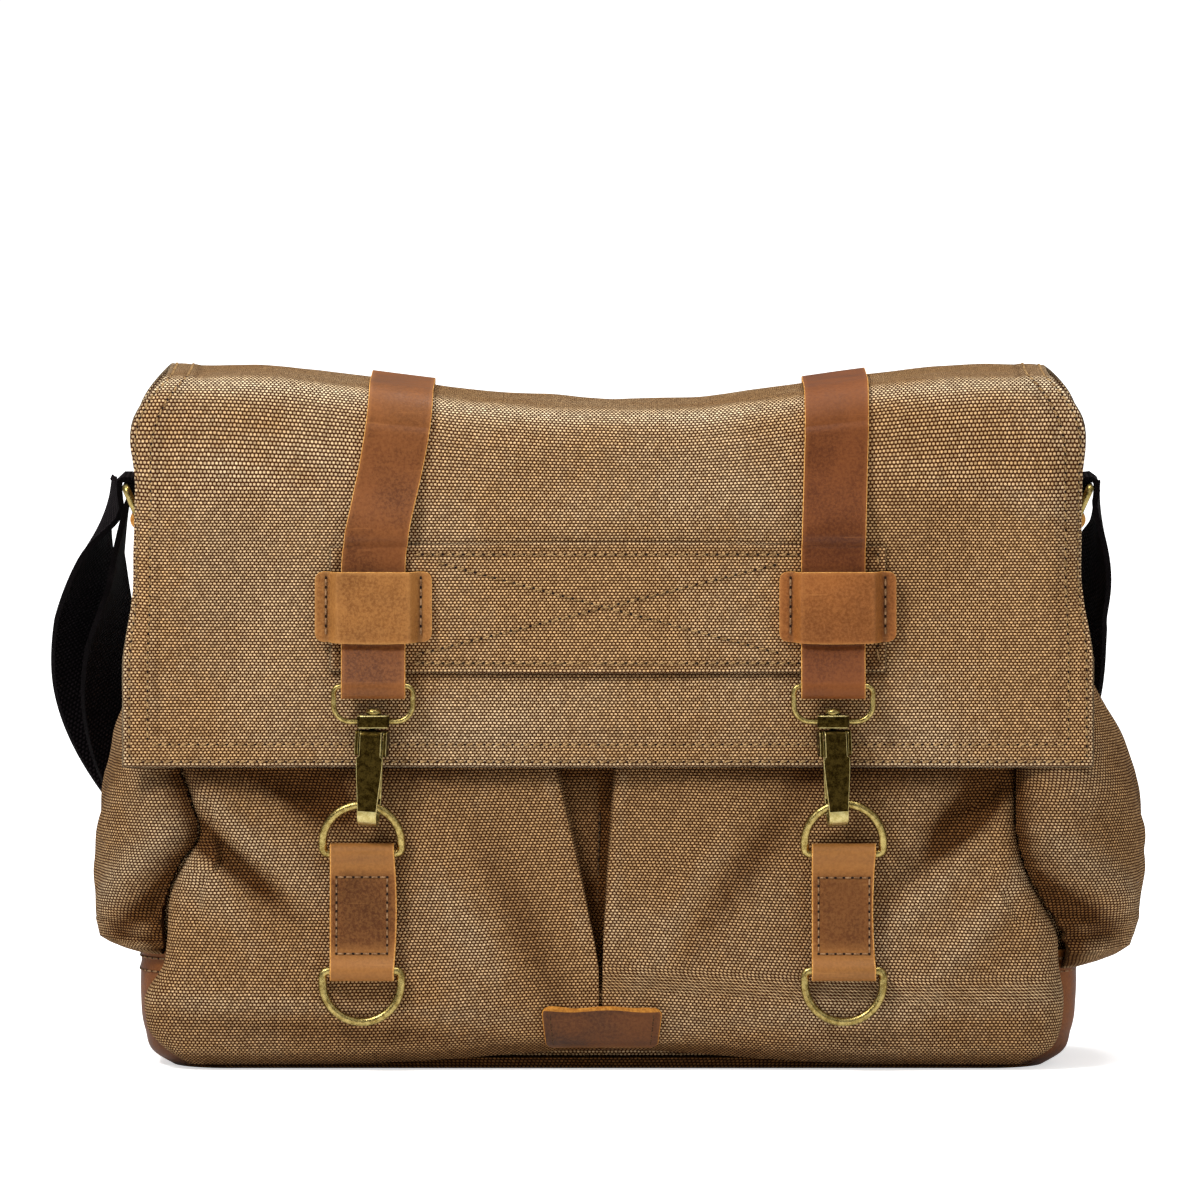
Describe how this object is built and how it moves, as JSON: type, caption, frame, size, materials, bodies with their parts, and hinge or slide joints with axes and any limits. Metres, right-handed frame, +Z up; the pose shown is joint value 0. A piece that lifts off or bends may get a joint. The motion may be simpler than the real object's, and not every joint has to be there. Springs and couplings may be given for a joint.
{
  "type": "crossbody bag",
  "caption": "Canvas messenger bag in a leather base, with a pleated front pocket, side pockets, a flap closed by leather straps on snap hooks, and a webbing shoulder strap.",
  "frame": {"origin": "on the floor under the middle of the leather base", "axes": "+X to the right seen from the front, -Y out of the front with the flap's closures, +Z up"},
  "size_m": [0.429, 0.1421, 0.271],
  "materials": {
    "canvas": "coarse khaki cotton canvas, matt, worn paler on its folds and hems",
    "leather": "waxed brown leather with darker oiled patches and pale raw edges",
    "label_leather": "dark brown bare leather with ochre raw edges",
    "webbing": "dark woven cotton webbing",
    "aged_brass": "dark antique brass with brighter rubbed edges"
  },
  "bodies": {
    "bag": {"body_shell": "canvas", "leather_base": "leather", "front_pocket": "canvas", "side_pocket_left": "canvas", "side_pocket_right": "canvas", "flap": "canvas", "flap_patch": "canvas", "closure_strap_left": "leather", "closure_strap_right": "leather", "keeper_left": "leather", "keeper_right": "leather", "swivel_eye_left": "aged_brass", "swivel_eye_right": "aged_brass", "hook_body_left": "aged_brass", "hook_body_right": "aged_brass", "ring_tab_left": "leather", "ring_tab_right": "leather", "upper_ring_left": "aged_brass", "upper_ring_right": "aged_brass", "label": "label_leather", "side_ring_left": "aged_brass", "side_ring_right": "aged_brass", "side_chape_left": "leather", "side_chape_right": "leather", "shoulder_strap": "webbing", "strap_slider": "aged_brass"},
    "lever_left": {"hook_lever_left": "aged_brass"},
    "lever_right": {"hook_lever_right": "aged_brass"},
    "ring_left": {"lower_ring_left": "aged_brass"},
    "ring_right": {"lower_ring_right": "aged_brass"}
  },
  "joints": [
    {"name": "lever_left_spring", "type": "hinge", "parent": "bag", "child": "lever_left", "pos_m": [-0.09178, -0.06718, 0.12791], "axis": [-0.9863, 0.1562, 0.0523], "range_deg": [0, 10], "stiffness_Nm_per_rad": 0.02},
    {"name": "lever_right_spring", "type": "hinge", "parent": "bag", "child": "lever_right", "pos_m": [0.088, -0.06719, 0.12791], "axis": [-0.9867, -0.1563, -0.0436], "range_deg": [0, 10], "stiffness_Nm_per_rad": 0.02},
    {"name": "ring_left_swing", "type": "hinge", "parent": "bag", "child": "ring_left", "pos_m": [-0.096, -0.07135, 0.0403], "axis": [-1, 0, 0], "range_deg": [0, 100]},
    {"name": "ring_right_swing", "type": "hinge", "parent": "bag", "child": "ring_right", "pos_m": [0.092, -0.07134, 0.0403], "axis": [-1, 0, 0], "range_deg": [0, 100]}
  ]
}
